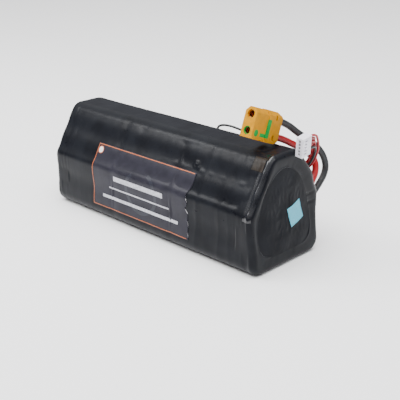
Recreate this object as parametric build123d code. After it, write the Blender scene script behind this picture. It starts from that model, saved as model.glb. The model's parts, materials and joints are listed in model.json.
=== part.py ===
from build123d import *
import math
import os

# Cylindrical-cell battery pack, 4 cells in series and 12 in parallel, in a heat-shrunk
# sleeve, with a two-pole power connector and a five-pin balance plug on free leads.
# Frame: +X along the pack towards the leads, +Z up, origin under the middle of the pack.

# ---- driving dimensions, mm ----
PITCH = 18.5  # between neighbouring cells in a row
ROW_STEP = PITCH * math.sin(math.radians(60))
ROWS = ((0, 4), (1, 3), (0, 4), (1, 3), (2, 2))  # first place in half pitches, cells in the row
LAYERS = 3
PACK_LENGTH = 216.0

CAN_RADIUS = 9.0
CAN_LENGTH = 64.0
CELL_LENGTH = 65.0  # over the raised cap
CELL_SLEEVE = 0.15
CAP_RADIUS = 3.6
RING_INNER, RING_THICK = 3.8, 0.2
NICKEL = 0.3
PAPER = 0.5
BOARD = 1.6
FOAM = 2.0
FILM = 0.3
WRAP = 0.25

SKIN_RADIUS = 9.75  # outer face of the sleeve, from the axes of the corner cells
SLEEVE_RADIUS = SKIN_RADIUS - FILM
WRAP_RADIUS = SLEEVE_RADIUS - WRAP
BOARD_RADIUS = 9.15
END_ROUND = 3.0
MOUTH_INSET = 8.0  # from the outline to the open mouth of the sleeve at each end

LEAD_D = 5.0
CORE_R = 2.0
WIRE_D = 1.7
FIT_GAP = 0.05
PLATE_PAD, PLATE_BRIDGE = 5.0, 6.0  # weld plates: pad radius on a cell, width between cells

PLUG_W, PLUG_T = 22.5, 11.2  # power connector, over its rear body
PLUG_TILT = 20.5  # mating direction above the horizontal, degrees
PLUG_FACE = (87.0, -17.0, 105.0)
NOSE_LENGTH, BODY_LENGTH, COVER_LENGTH = 14.3, 6.5, 8.7
POLE_OFFSET = 5.8
SOCKET_R, SOCKET_DEPTH = 2.25, 13.0
BARREL_R = 2.95

BALANCE_W, BALANCE_T, BALANCE_H = 14.9, 5.75, 9.8
BALANCE_PITCH = 2.5
BALANCE_CENTRE = (112.8, 11.5, 87.0)

# ---- places along the pack, worked out from the stack of pieces ----
REAR, FRONT = -PACK_LENGTH / 2, PACK_LENGTH / 2
REAR_FILM = REAR + FILM
REAR_FOAM = REAR_FILM + FILM
REAR_BOARD = REAR_FOAM + FOAM
REAR_PAPER = REAR_BOARD + BOARD
LAYER_STEP = CELL_LENGTH + 2 * NICKEL + PAPER
FIRST_LAYER = REAR_PAPER + PAPER
FRONT_BOARD = REAR_PAPER + LAYERS * LAYER_STEP + PAPER
FRONT_FOAM = FRONT - 2 * FILM - FOAM


def cell_places():
    """Centres (y, z) of the cells, row by row from the bottom."""
    places = []
    for row, (start, count) in enumerate(ROWS):
        z = SKIN_RADIUS + row * ROW_STEP
        places += [((start / 2 + i - 1.5) * PITCH, z) for i in range(count)]
    return places


CELLS = cell_places()
GROUPS = (CELLS[0:4], CELLS[4:8], CELLS[8:11] + CELLS[13:14], CELLS[11:13] + CELLS[14:16])
OUTLINE = (CELLS[0], CELLS[3], CELLS[10], CELLS[15], CELLS[14], CELLS[7])
SLOPE_NORMAL = Vector(0, math.cos(math.radians(30)), math.sin(math.radians(30)))
SLOPE_REACH = CELLS[10][0] * SLOPE_NORMAL.Y + CELLS[10][1] * SLOPE_NORMAL.Z + SKIN_RADIUS


def across(x):
    """Plane square to the pack at x, whose local axes are the pack's y and z."""
    return Plane(origin=(x, 0, 0), x_dir=(0, 1, 0), z_dir=(1, 0, 0))


def section(radius):
    """The honeycomb's outline, at a distance from the axes of its corner cells."""
    corners = make_face(Polyline(*OUTLINE, close=True))
    return offset(corners, amount=radius, kind=Kind.ARC)


def slab(radius, x, length):
    return extrude(across(x) * section(radius), length)


def discs(places, radius, x, length, hole=0.0):
    """One cylinder, or ring, at each place, as separate solids."""
    ring = Circle(radius) - Circle(hole) if hole else Circle(radius)
    one = extrude(across(x) * ring, length)
    return Compound([Pos(0, y, z) * one for y, z in places])


def save(name, shape):
    shape.label = name
    export_step(shape, f"parts/{name}.step")


# ---- cells ----
def cell_solids(layer_start):
    """Cans, sleeves, caps and rings of one layer. Groups 1 and 3 point forwards."""
    forward = GROUPS[0] + GROUPS[2]
    backward = GROUPS[1] + GROUPS[3]
    bottom = layer_start + NICKEL
    top = bottom + CELL_LENGTH
    cap = CELL_LENGTH - CAN_LENGTH
    cans = [discs(forward, CAN_RADIUS, bottom, CAN_LENGTH)]
    cans.append(discs(backward, CAN_RADIUS, bottom + cap, CAN_LENGTH))
    outer = CAN_RADIUS + CELL_SLEEVE
    sleeves = [discs(forward, outer, bottom, CAN_LENGTH, CAN_RADIUS)]
    sleeves.append(discs(backward, outer, bottom + cap, CAN_LENGTH, CAN_RADIUS))
    caps = [discs(forward, CAP_RADIUS, top - cap, cap)]
    caps.append(discs(backward, CAP_RADIUS, bottom, cap))
    ring_outer = CAN_RADIUS - CELL_SLEEVE
    rings = [discs(forward, ring_outer, top - cap, RING_THICK, RING_INNER)]
    rings.append(discs(backward, ring_outer, bottom + cap - RING_THICK, RING_THICK, RING_INNER))
    return cans, sleeves, caps, rings


def gather(compounds):
    return Compound([solid for group in compounds for solid in group.solids()])


def nickel_plate(groups, x):
    """Spot-welded plate: a pad on each cell and a bridge between neighbours."""
    places = [place for group in groups for place in group]
    plate = Sketch()
    for i, (y, z) in enumerate(places):
        plate += Pos(y, z) * Circle(PLATE_PAD)
        for y2, z2 in places[i + 1 :]:
            if math.hypot(y2 - y, z2 - z) < PITCH + FIT_GAP:
                angle = math.degrees(math.atan2(z2 - z, y2 - y))
                bridge = Rectangle(PITCH, PLATE_BRIDGE)
                plate += Pos((y + y2) / 2, (z + z2) / 2) * Rot(0, 0, angle) * bridge
    return extrude(across(x) * plate, NICKEL)


def make_cells():
    for layer in range(LAYERS):
        start = FIRST_LAYER + layer * LAYER_STEP
        cans, sleeves, caps, rings = cell_solids(start)
        number = layer + 1
        save(f"cell_cans_{number}", gather(cans))
        save(f"cell_sleeves_{number}", gather(sleeves))
        save(f"cell_caps_{number}", gather(caps))
        save(f"cell_rings_{number}", gather(rings))
        rear = [nickel_plate(g, start) for g in (GROUPS[:1], GROUPS[1:3], GROUPS[3:])]
        far_end = start + NICKEL + CELL_LENGTH
        front = [nickel_plate(g, far_end) for g in (GROUPS[:2], GROUPS[2:])]
        save(f"nickel_rear_{number}", gather(rear))
        save(f"nickel_front_{number}", gather(front))


# ---- inner structure ----
BUS_W, BUS_T, BUS_GAP = 7.0, 0.4, 1.0
BUS_Y, BUS_Z = 28.6, 25.77
FILLER_DEPTH, FILLER_HEIGHT = 5.0, 9.0


def side_notches():
    """Room in the papers for what runs lengthwise in the two side grooves."""
    depth, height = 12.0, FILLER_HEIGHT + 1
    far = Pos(0, BUS_Y - 1 + depth / 2, BUS_Z) * Box(PACK_LENGTH, depth, height)
    near = Pos(0, 0.5 - BUS_Y - depth / 2, BUS_Z) * Box(PACK_LENGTH, depth, height)
    return far + near


def make_inside():
    for i in range(LAYERS + 1):
        paper = slab(BOARD_RADIUS, REAR_PAPER + i * LAYER_STEP, PAPER)
        save(f"insulator_paper_{i + 1}", paper - side_notches())
    save("end_board_rear", slab(BOARD_RADIUS, REAR_BOARD, BOARD))
    save("end_board_front", slab(BOARD_RADIUS, FRONT_BOARD, BOARD))
    save("end_foam_rear", slab(SLEEVE_RADIUS - FOAM, REAR_FOAM, FOAM))
    save("end_foam_front", slab(SLEEVE_RADIUS - FOAM, FRONT_FOAM, FOAM))

    # Five flat strips join the same group in all three layers, with paper between them.
    first, length = FIRST_LAYER, LAYERS * LAYER_STEP - PAPER
    middle = first + length / 2
    strips, papers = [], []
    for i in range(5):
        y = BUS_Y + i * BUS_GAP
        strips.append(Pos(middle, y, BUS_Z) * Box(length, BUS_T, BUS_W - i))
        if i < 4:
            gap = BUS_GAP - BUS_T
            papers.append(Pos(middle, y + BUS_GAP / 2, BUS_Z) * Box(length, gap, BUS_W - i))
    save("parallel_bus_strips", Compound(strips))
    save("bus_separators", Compound(papers))
    filler = Pos(middle, -(BUS_Y + FILLER_DEPTH / 2), BUS_Z)
    save("side_filler_foam", filler * Box(length, FILLER_DEPTH, FILLER_HEIGHT))

    start, length = REAR + END_ROUND, PACK_LENGTH - 2 * END_ROUND
    wrap = slab(SLEEVE_RADIUS, start, length) - slab(WRAP_RADIUS, start, length)
    save("paper_wrap", wrap - lead_holes())


# ---- lead exits ----
EXIT_DIR = Vector(0, 0.8, 0.6)
EXIT_X = 101.0
BLACK_EXIT = Vector(EXIT_X, 37.5, 36.6)
RED_EXIT = Vector(EXIT_X, 36.2, 46.7)
LEAD_INSIDE = 4.0
SEAL_THICK = 2.6


def rod(start, direction, radius, length):
    """Cylinder from a point along a direction."""
    return extrude(Plane(origin=start, z_dir=direction) * Circle(radius), length)


def lead_holes():
    """Round holes through wrap and sleeve for the two main leads."""
    radius = LEAD_D / 2 + FIT_GAP
    reach = 14.0
    holes = [rod(e - EXIT_DIR * reach / 2, EXIT_DIR, radius, reach) for e in (BLACK_EXIT, RED_EXIT)]
    return holes[0] + holes[1]


def make_lead_seal(leads):
    """Bead of sealant over the holes that the main leads come out of."""
    x0, length = EXIT_X - 5.0, 10.0
    bead = slab(SKIN_RADIUS + SEAL_THICK, x0, length) - slab(SKIN_RADIUS, x0, length)
    bead = bead & Pos(EXIT_X, 40, 42.4) * Box(length, 24, 21)
    for lead in leads:
        bead -= lead
    return bead


SEAL_PLANE_X, SEAL_Z = 82.0, 70.0
SEAL_LENGTH, SEAL_WIDTH, SEAL_HEIGHT = 12.0, 9.0, 5.6


def slope_plane(x, z):
    """Plane on the far slope, x along the pack, local z out of the slope."""
    y = (SLOPE_REACH - z * SLOPE_NORMAL.Z) / SLOPE_NORMAL.Y
    return Plane(origin=(x, y, z), x_dir=(1, 0, 0), z_dir=SLOPE_NORMAL)


# ---- cords ----
def corner_radii(points):
    """Largest arc at each corner: 0.45 of the shorter run over tan(half the turn)."""
    radii = []
    for a, b, c in zip(points, points[1:], points[2:]):
        turn = math.radians((b - a).get_angle(c - b))
        radii.append(0.45 * min((b - a).length, (c - b).length) / math.tan(turn / 2))
    return radii


def tube(name, points, diameter):
    """A cord: one round section swept along straight runs joined by tangent arcs."""
    points = [Vector(p) for p in points]
    radii = corner_radii(points)
    path = FilletPolyline(*points, radius=radii)
    section_plane = Plane(origin=path @ 0, z_dir=path % 0)
    solid = sweep(section_plane * Circle(diameter / 2), path=path)
    expected = math.pi * diameter**2 / 4 * path.length
    print(f"{name}: length {path.length:.1f}, radii {[round(r, 1) for r in radii]}")
    print(f"  volume {solid.volume:.1f}, section times length {expected:.1f}")
    save(name, solid)
    return solid


MATE = Vector(0, -math.cos(math.radians(PLUG_TILT)), math.sin(math.radians(PLUG_TILT)))
PLUG = Plane(origin=PLUG_FACE, x_dir=(1, 0, 0), z_dir=MATE)
CORD_START = 25.0  # depth behind the mating face where the insulation starts
RUN_BEHIND = 16.0


def behind_plug(depth, pole):
    """A point on a pole's axis, a depth behind the mating face. The upper pole is +1."""
    return PLUG.from_local_coords(Vector(0, pole * POLE_OFFSET, -depth))


BLACK_ROUTE = [
    behind_plug(CORD_START, 1),
    behind_plug(CORD_START + RUN_BEHIND, 1),
    Vector(90.0, 36.2, 85.4),
    Vector(94.5, 48.2, 77.0),
    Vector(98.8, 56.4, 66.8),
    Vector(101.4, 57.6, 54.4),
    BLACK_EXIT + EXIT_DIR * 9,
    BLACK_EXIT - EXIT_DIR * LEAD_INSIDE,
]
RED_ROUTE = [
    behind_plug(CORD_START, -1),
    behind_plug(CORD_START + RUN_BEHIND, -1),
    Vector(89.6, 32.4, 77.6),
    Vector(92.8, 42.8, 71.6),
    Vector(97.8, 48.6, 63.2),
    RED_EXIT + EXIT_DIR * 9,
    RED_EXIT - EXIT_DIR * LEAD_INSIDE,
]

# ---- balance harness: places on the way, a side direction at each, and the wires' spread ----
BALANCE_Z = Vector(0, -0.989, -0.15)
BALANCE = Plane(origin=BALANCE_CENTRE, x_dir=(0.987, 0, -0.158), z_dir=BALANCE_Z)
SPREAD = 1.7  # from the middle of the bundle to its outer wires, along and across
HARNESS_START = [
    (Vector(108.0, 32.0, 83.4), Vector(0, 0.6, 0.8), SPREAD),
    (Vector(102.0, 40.6, 74.4), Vector(0, 0.8, 0.6), SPREAD),
    (Vector(98.6, 40.6, 64.6), Vector(0, 1, 0), SPREAD),
    (Vector(92.6, 38.4, 58.4), Vector(0, 1, 0), SPREAD),
    (Vector(83.0, 35.6, 57.0), Vector(0, 0.8, 0.6), SPREAD),
    (Vector(71.0, 34.4, 58.2), Vector(0, 0.2, 1), SPREAD),
    (Vector(53.0, 34.9, 57.4), Vector(0, -0.5, 0.87), SPREAD),
]
HIGH_LOOP = [
    (Vector(35.0, 33.6, 60.2), Vector(0.3, -0.5, 0.87), SPREAD),
    (Vector(24.0, 30.4, 65.6), Vector(0.8, -0.3, 0.5), SPREAD),
    (Vector(19.0, 25.6, 74.0), Vector(1, 0, 0), 0),
    (Vector(23.0, 21.0, 81.0), Vector(0.8, 0.3, -0.5), 0),
    (Vector(32.0, 17.8, 84.8), Vector(0.3, 0, -1), 0),
    (Vector(43.5, 17.2, 85.4), Vector(0, 0, -1), 0),
    (Vector(54.5, 19.4, 82.6), Vector(-0.2, 0, -1), 0),
    (Vector(65.0, 22.2, 79.4), Vector(-0.2, 0, -1), 0),
    (Vector(75.0, 24.8, 74.6), Vector(0, 0, -1), SPREAD),
]
LOW_LOOP = [
    (Vector(42.0, 33.9, 59.8), Vector(0.3, -0.5, 0.87), SPREAD),
    (Vector(33.0, 33.0, 61.2), Vector(0.6, -0.4, 0.7), SPREAD),
    (Vector(27.5, 29.6, 66.8), Vector(1, 0, 0), SPREAD),
    (Vector(33.0, 26.4, 72.2), Vector(0.6, 0.3, -0.7), SPREAD),
    (Vector(43.0, 25.4, 72.8), Vector(0.2, 0.2, -1), SPREAD),
    (Vector(57.0, 25.3, 72.6), Vector(0, 0, -1), SPREAD),
    (Vector(70.0, 25.2, 72.9), Vector(0, 0, -1), SPREAD),
]
HARNESS_END = [(Vector(83.0, 24.8, 73.6), Vector(0, 0, -1), SPREAD)]
WIRE_START, WIRE_BEND, WIRE_BEND_STEP = 3.0, 8.2, 1.3  # depths behind the plug's middle
CLUSTER = ((-1.3, 0.8), (-0.9, -1), (0, 0), (1, -1), (1, 1))


def wire_route(i):
    """Points of wire i: out of its own cavity, then at its place in the bundle."""
    slot = (i - 2) * BALANCE_PITCH
    bend = WIRE_BEND + i * WIRE_BEND_STEP
    points = [BALANCE.from_local_coords(Vector(0, slot, -depth)) for depth in (WIRE_START, bend)]
    harness = HARNESS_START + (LOW_LOOP if i else HIGH_LOOP) + HARNESS_END
    centres = [stop[0] for stop in harness]
    before = [BALANCE.from_local_coords(Vector(0, 0, -WIRE_BEND))] + centres[:-1]
    after = centres[1:] + [centres[-1]]
    up, side = CLUSTER[i]
    for (centre, hint, spread), a, b in zip(harness, before, after):
        along = (b - a).normalized()
        normal = (hint - along * hint.dot(along)).normalized()
        points.append(centre + (normal * up + along.cross(normal) * side) * spread)
    return points


def make_cords():
    solids = [tube("main_lead_black", BLACK_ROUTE, LEAD_D), tube("main_lead_red", RED_ROUTE, LEAD_D)]
    for i in range(5):
        name = "balance_wire_black" if i == 0 else f"balance_wire_red_{i}"
        solids.append(tube(name, wire_route(i), WIRE_D))
    return solids


# ---- terminals at the end of the pack ----
TAB_T, TAB_LENGTH, TAB_WIDTH = 0.4, 14.0, 7.0
TAB_SHIFT = 3.0  # from the joint towards the middle of the pack
CORE_LENGTH = 8.0
JOINT_BACK, JOINT_W, JOINT_H, JOINT_ROUND = 4.4, 5.0, 5.6, 1.6


def make_terminals():
    """Tabs from the end board to the leads, bare lead ends and the solder between."""
    tabs, cores, joints = [], [], []
    for exit_point in (BLACK_EXIT, RED_EXIT):
        start = exit_point - EXIT_DIR * LEAD_INSIDE
        core = rod(start, EXIT_DIR * -1, CORE_R, CORE_LENGTH)
        cores.append(core)
        middle = start - EXIT_DIR * JOINT_BACK
        tab = Box(TAB_T, TAB_LENGTH, TAB_WIDTH)
        tabs.append(Pos(FRONT_BOARD + BOARD + TAB_T / 2, middle.Y - TAB_SHIFT, middle.Z) * tab)
        low, high = FRONT_BOARD + BOARD + TAB_T, EXIT_X + 1
        joint = Pos((low + high) / 2, middle.Y, middle.Z) * Box(high - low, JOINT_W, JOINT_H)
        joint = fillet(joint.edges().filter_by(Axis.X), JOINT_ROUND)
        joints.append(joint - core)
    save("terminal_tabs", Compound(tabs))
    save("terminal_solder", gather(joints))
    return cores


# ---- power connector, in its own plane: x thickness, y width, z the mating direction ----
def plug_outline(width, thick, cut):
    """Rectangle whose upper corners are cut off, so that it mates one way round."""
    w, t = width / 2, thick / 2
    points = [(-t, -w), (t, -w), (t, w - cut), (t - cut, w), (cut - t, w), (-t, w - cut)]
    return make_face(Polyline(*points, close=True))


def plug_block(width, thick, cut, depth, length):
    """Prism of the outline from a depth behind the mating face, running back."""
    plane = PLUG.offset(-depth - length)
    return extrude(plane * plug_outline(width, thick, cut), length)


def plug_bores(radius, depth, length):
    plane = PLUG.offset(-depth - length)
    bores = [extrude(plane * Pos(0, s * POLE_OFFSET) * Circle(radius), length) for s in (1, -1)]
    return bores[0] + bores[1]


PLUG_CUT = 3.2
NOSE_STEP = 0.5
SPLIT = NOSE_LENGTH + BODY_LENGTH
SPIGOT_LENGTH = 3.7
COVER_WALL, COVER_BACK = 1.2, 3.2
COVER_CUT, COVER_CUT_DEPTH = 2.0, 3.6  # taken off the two rear edges, across and along
CATCH_Y, CATCH_DEPTH = 7.2, 2.2
INLAY = 0.9  # strip's depth in the body
BARREL_START = 1.4
RING_START, RING_WALL = 0.4, 0.45
CUP_R, CUP_BORE = 2.9, 2.3
CUP_FLOOR, CUP_END = 17.4, 24.4
COLLAR_R, COLLAR_LENGTH = 3.3, 1.6
SHRINK_START, SHRINK_END, SHRINK_T = 21.4, 26.2, 0.35
SOLDER_START = 17.8


def inlay_shape():
    """Bar and foot, and a round pad, as seen on the broad side."""
    bar = Pos(16.1, -1.8) * Rectangle(3.6, 13.2)
    foot = Pos(11.4, -7.1) * Rectangle(5.8, 2.6)
    pad = Pos(4.2, -6.4) * Ellipse(2.2, 2.5)
    return bar, foot + pad


def broad_side(outset):
    """Plane along the broad side, x running back from the mating face and y across it."""
    origin = PLUG.from_local_coords(Vector(PLUG_T / 2 + outset, 0, 0))
    return Plane(origin=origin, x_dir=MATE * -1, z_dir=(1, 0, 0))


def make_connector():
    nose = plug_block(PLUG_W - 2 * NOSE_STEP, PLUG_T - 2 * NOSE_STEP, PLUG_CUT, 0, NOSE_LENGTH)
    body = plug_block(PLUG_W, PLUG_T, PLUG_CUT, NOSE_LENGTH, BODY_LENGTH)
    spigot_gap = 2 * (COVER_WALL + FIT_GAP * 2)
    spigot = plug_block(PLUG_W - spigot_gap, PLUG_T - spigot_gap, PLUG_CUT, SPLIT, SPIGOT_LENGTH)
    housing = nose + body + spigot
    housing -= plug_bores(BARREL_R + FIT_GAP, 0, SPLIT + SPIGOT_LENGTH)
    housing -= plug_bores(COLLAR_R + FIT_GAP, NOSE_LENGTH, SPLIT + SPIGOT_LENGTH - NOSE_LENGTH)
    on_body, on_nose = inlay_shape()
    floor = broad_side(-INLAY)
    housing -= extrude(floor * (on_body + on_nose), INLAY)
    save("connector_housing", housing)
    strip = extrude(floor * on_nose, INLAY - NOSE_STEP) + extrude(floor * on_body, INLAY)
    save("anti_spark_strip", strip)

    ring_plane = PLUG.offset(-BARREL_START) * Pos(0, -POLE_OFFSET)
    ring = Circle(BARREL_R) - Circle(BARREL_R - RING_WALL)
    save("anti_spark_ring", extrude(ring_plane * ring, BARREL_START - RING_START))
    for pole, name in ((1, "contact_negative"), (-1, "contact_positive")):
        save(name, contact(pole))
    save("connector_rear_cover", rear_cover())


def rear_cover():
    """Snap-on cap with sloped rear edges, catch windows and one long hole for both leads."""
    w, end = PLUG_W / 2, SPLIT + COVER_LENGTH
    side = [(SPLIT, -w), (end - COVER_CUT_DEPTH, -w), (end, COVER_CUT - w)]
    side += [(depth, -y) for depth, y in reversed(side)]
    cover = plug_block(PLUG_W, PLUG_T, PLUG_CUT, SPLIT, COVER_LENGTH)
    cover &= extrude(broad_side(-PLUG_T) * make_face(Polyline(*side, close=True)), PLUG_T)
    wall = 2 * COVER_WALL
    cover -= plug_block(PLUG_W - wall, PLUG_T - wall, PLUG_CUT, SPLIT, COVER_LENGTH - COVER_BACK)
    hole_width = LEAD_D + COVER_WALL
    hole = Rot(0, 0, 90) * SlotOverall(2 * POLE_OFFSET + hole_width, hole_width)
    cover -= extrude(PLUG.offset(-end) * hole, COVER_BACK)
    for y in (CATCH_Y, -CATCH_Y):
        cover -= PLUG.location * Pos(PLUG_T / 2, y, -SPLIT - CATCH_DEPTH) * Box(4, 3.4, 1.8)
    return cover


def contact(pole):
    """Socket barrel with a split mouth, a collar and a solder cup."""
    axis = PLUG.location * Pos(0, pole * POLE_OFFSET, 0)

    def stretch(radius, start, end):
        return extrude(Plane(axis * Pos(0, 0, -end)) * Circle(radius), end - start)

    solid = stretch(BARREL_R, BARREL_START, NOSE_LENGTH)
    solid += stretch(COLLAR_R, NOSE_LENGTH, NOSE_LENGTH + COLLAR_LENGTH)
    solid += stretch(CUP_R, NOSE_LENGTH + COLLAR_LENGTH, CUP_END)
    solid -= stretch(SOCKET_R, BARREL_START, SOCKET_DEPTH)
    solid -= stretch(CUP_BORE, CUP_FLOOR, CUP_END)
    return solid


def make_lead_ends(pack_cores):
    """Bare lead ends in the solder cups and at the pack, and shrink sleeves on the cups."""
    cores, sleeves, solder = list(pack_cores), [], []
    for pole in (1, -1):
        location = PLUG.location * Pos(0, pole * POLE_OFFSET, 0)
        core_plane = Plane(location * Pos(0, 0, -CORD_START))
        cores.append(extrude(core_plane * Circle(CORE_R), CORD_START - CUP_FLOOR))
        fill_plane = Plane(location * Pos(0, 0, -CUP_END))
        fill = Circle(CUP_BORE) - Circle(CORE_R)
        solder.append(extrude(fill_plane * fill, CUP_END - SOLDER_START))
        sleeve_plane = Plane(location * Pos(0, 0, -SHRINK_END))
        ring = Circle(CUP_R + SHRINK_T) - Circle(CUP_R)
        sleeves.append(extrude(sleeve_plane * ring, SHRINK_END - SHRINK_START))
    save("lead_cores", Compound(cores))
    save("cup_solder", Compound(solder))
    save("cup_shrink_sleeves", Compound(sleeves))


# ---- balance plug, in its own plane: x thickness, y width, z the mating direction ----
def make_balance_plug():
    block = BALANCE.location * Box(BALANCE_T, BALANCE_W, BALANCE_H)
    terminals = []
    for i in range(5):
        place = BALANCE.location * Pos(0, (i - 2) * BALANCE_PITCH, 0)
        block -= place * Box(1.9, 1.9, BALANCE_H)
        block -= place * Pos(BALANCE_T / 2, 0, 1.2) * Box(4.0, 1.2, 2.4)
        pin = place * Pos(0, 0, 0.9) * Box(1.7, 1.7, 7.0)
        pin -= place * Pos(0, 0, 2.9) * Box(0.9, 0.9, 3.0)
        terminals.append(pin)
    for y in (BALANCE_W / 2 - 1.3, 1.3 - BALANCE_W / 2):
        rib = BALANCE.location * Pos(-BALANCE_T / 2, y, -1.0) * Box(0.8, 0.8, 7.0)
        block += rib
    save("balance_plug_housing", block)
    save("balance_terminals", gather(terminals))


# ---- skins ----
LABEL_T = 0.12
LABEL_X0, LABEL_X1 = -61.0, 48.0
LABEL_LOW, LABEL_HIGH = 11.0, 61.0
BADGE_X, BADGE_Z, BADGE_R = -56.5, 56.2, 3.2
TAPE_X0, TAPE_X1 = 93.0, 103.0


def make_sleeve():
    """Shrunk tube with rounded ends whose lips turn in around an open mouth."""
    outer = slab(SKIN_RADIUS, REAR, PACK_LENGTH)
    outer = fillet(end_edges(outer), END_ROUND)
    inner = slab(SLEEVE_RADIUS, REAR + FILM, PACK_LENGTH - 2 * FILM)
    inner = fillet(end_edges(inner), END_ROUND - FILM)
    mouth = slab(SKIN_RADIUS - MOUTH_INSET, REAR - 1, PACK_LENGTH + 2)
    return outer - inner - mouth - lead_holes()


def end_edges(solid):
    low, high = solid.faces().sort_by(Axis.X)[0], solid.faces().sort_by(Axis.X)[-1]
    return low.edges() + high.edges()


def skin_patch(x0, x1, thickness, window):
    """A thin piece that follows the sleeve's outside, cut to a window."""
    length = x1 - x0
    shell = slab(SKIN_RADIUS + thickness, x0, length) - slab(SKIN_RADIUS, x0, length)
    return shell & window


def make_skins():
    save("outer_sleeve", make_sleeve())
    save("end_film_rear", slab(SKIN_RADIUS - END_ROUND - 0.1, REAR_FILM, FILM))
    save("end_film_front", slab(SKIN_RADIUS - END_ROUND - 0.1, FRONT - 2 * FILM, FILM))

    middle = (LABEL_X0 + LABEL_X1) / 2
    height = LABEL_HIGH - LABEL_LOW
    window = Pos(middle, -40, LABEL_LOW + height / 2) * Box(LABEL_X1 - LABEL_X0, 60, height)
    save("label", skin_patch(LABEL_X0, LABEL_X1, LABEL_T, window))

    y = -(SLOPE_REACH - BADGE_Z * SLOPE_NORMAL.Z) / SLOPE_NORMAL.Y
    normal = Vector(0, -SLOPE_NORMAL.Y, SLOPE_NORMAL.Z)
    badge = Plane(origin=Vector(BADGE_X, y, BADGE_Z) + normal * LABEL_T, z_dir=normal)
    save("round_badge", extrude(badge * Circle(BADGE_R), LABEL_T))

    sticker = across(FRONT - 2 * FILM + FILM) * Pos(9.9, 36.4) * Rot(0, 0, 16) * Rectangle(15.4, 15.4)
    save("check_sticker", extrude(sticker, LABEL_T))

    tape_window = Pos((TAPE_X0 + TAPE_X1) / 2, -14, 80) * Box(TAPE_X1 - TAPE_X0, 16, 14)
    save("ridge_tape", skin_patch(TAPE_X0, TAPE_X1, LABEL_T, tape_window))


def make_seals(leads, wires):
    save("lead_exit_seal", make_lead_seal(leads))
    block = slope_plane(SEAL_PLANE_X + SEAL_LENGTH / 2, SEAL_Z).location
    block = block * Pos(0, 0, SEAL_HEIGHT / 2) * Box(SEAL_LENGTH, SEAL_WIDTH, SEAL_HEIGHT)
    block = fillet(block.edges().filter_by(Axis.X), 0.8)
    for wire in wires:
        block -= wire
    save("balance_exit_seal", block)


os.makedirs("parts", exist_ok=True)
make_cells()
make_inside()
cords = make_cords()
make_lead_ends(make_terminals())
make_connector()
make_balance_plug()
make_skins()
make_seals(cords[:2], cords[2:])
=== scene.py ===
import json
import math

import bmesh
import bpy
import numpy as np
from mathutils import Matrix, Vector, noise


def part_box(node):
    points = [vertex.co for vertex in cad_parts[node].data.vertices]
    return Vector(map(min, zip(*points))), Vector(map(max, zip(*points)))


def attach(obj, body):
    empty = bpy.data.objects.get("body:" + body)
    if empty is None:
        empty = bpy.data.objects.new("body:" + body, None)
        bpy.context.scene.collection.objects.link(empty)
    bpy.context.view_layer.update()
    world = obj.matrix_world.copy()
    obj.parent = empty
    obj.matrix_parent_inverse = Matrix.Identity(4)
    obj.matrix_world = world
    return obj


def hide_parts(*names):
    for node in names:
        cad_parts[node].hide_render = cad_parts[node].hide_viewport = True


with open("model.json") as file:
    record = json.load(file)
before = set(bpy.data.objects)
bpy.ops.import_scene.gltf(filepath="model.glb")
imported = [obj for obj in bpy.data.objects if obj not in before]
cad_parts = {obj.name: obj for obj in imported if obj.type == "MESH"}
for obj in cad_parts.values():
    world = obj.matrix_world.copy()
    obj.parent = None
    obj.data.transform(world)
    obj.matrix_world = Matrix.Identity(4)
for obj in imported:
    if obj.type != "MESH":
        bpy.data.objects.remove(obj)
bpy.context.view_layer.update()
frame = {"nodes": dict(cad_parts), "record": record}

MM = 0.001

# ---- the pack's own sizes, from the frame ----
SLEEVE_LOW, SLEEVE_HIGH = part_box("outer_sleeve")
LENGTH = SLEEVE_HIGH[0] - SLEEVE_LOW[0]
WIDTH = SLEEVE_HIGH[1] - SLEEVE_LOW[1]
HEIGHT = SLEEVE_HIGH[2] - SLEEVE_LOW[2]
ROW = math.sin(math.radians(60))  # row step in pitches
PITCH = (HEIGHT - WIDTH) / (4 * ROW - 3)
RADIUS = (WIDTH - 3 * PITCH) / 2
REAR, FRONT = SLEEVE_LOW[0], SLEEVE_HIGH[0]
CREASE_Z = RADIUS + 2 * ROW * PITCH
MIDDLE = np.array((0.0, HEIGHT * 0.45))  # y and z that the end faces close in on

# ---- camera, floor and light, in metres and degrees ----
CAMERA_LENS, CAMERA_SENSOR = 72.7, 36.0
CAMERA_AZIMUTH, CAMERA_ELEVATION, CAMERA_DISTANCE = 43.96, 21.34, 0.6316
CAMERA_TARGET = (0.0242, 0.0, 0.0258)
HALF_FLOOR, FLOOR_WHITE = 40.0, (0.93, 0.93, 0.935, 1)
DARK_WALL = (0.10, 0.10, 0.11)  # the studio's walls, against a white ceiling
WALL_END, CEILING_FROM = 0.25, 0.95  # on the height of the surroundings
WORLD_STRENGTH = 2.2
LIGHT_TARGET = (0, 0, 0.04)
LIGHTS = (  # name, azimuth, elevation, distance, size, power
    ("key_above", 20, 76, 1.3, (1.2, 1.2), 30),
    ("soft_left", -48, 40, 1.1, (0.5, 0.26), 6.5),
    ("soft_right", 110, 34, 1.2, (0.3, 0.5), 0.6),
)

# ---- looks ----
TONE_LOW, TONE_HIGH = 0.35, 0.65  # where the noise turns from the dark tone to the light one
SOFT_EDGES = {  # bevels of the CAD pieces, in mm
    "connector_housing": 0.35, "connector_rear_cover": 0.35, "anti_spark_strip": 0.12,
    "balance_plug_housing": 0.15, "anti_spark_ring": 0.15,
}
SOFT_ANGLE = math.radians(40)

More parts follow.
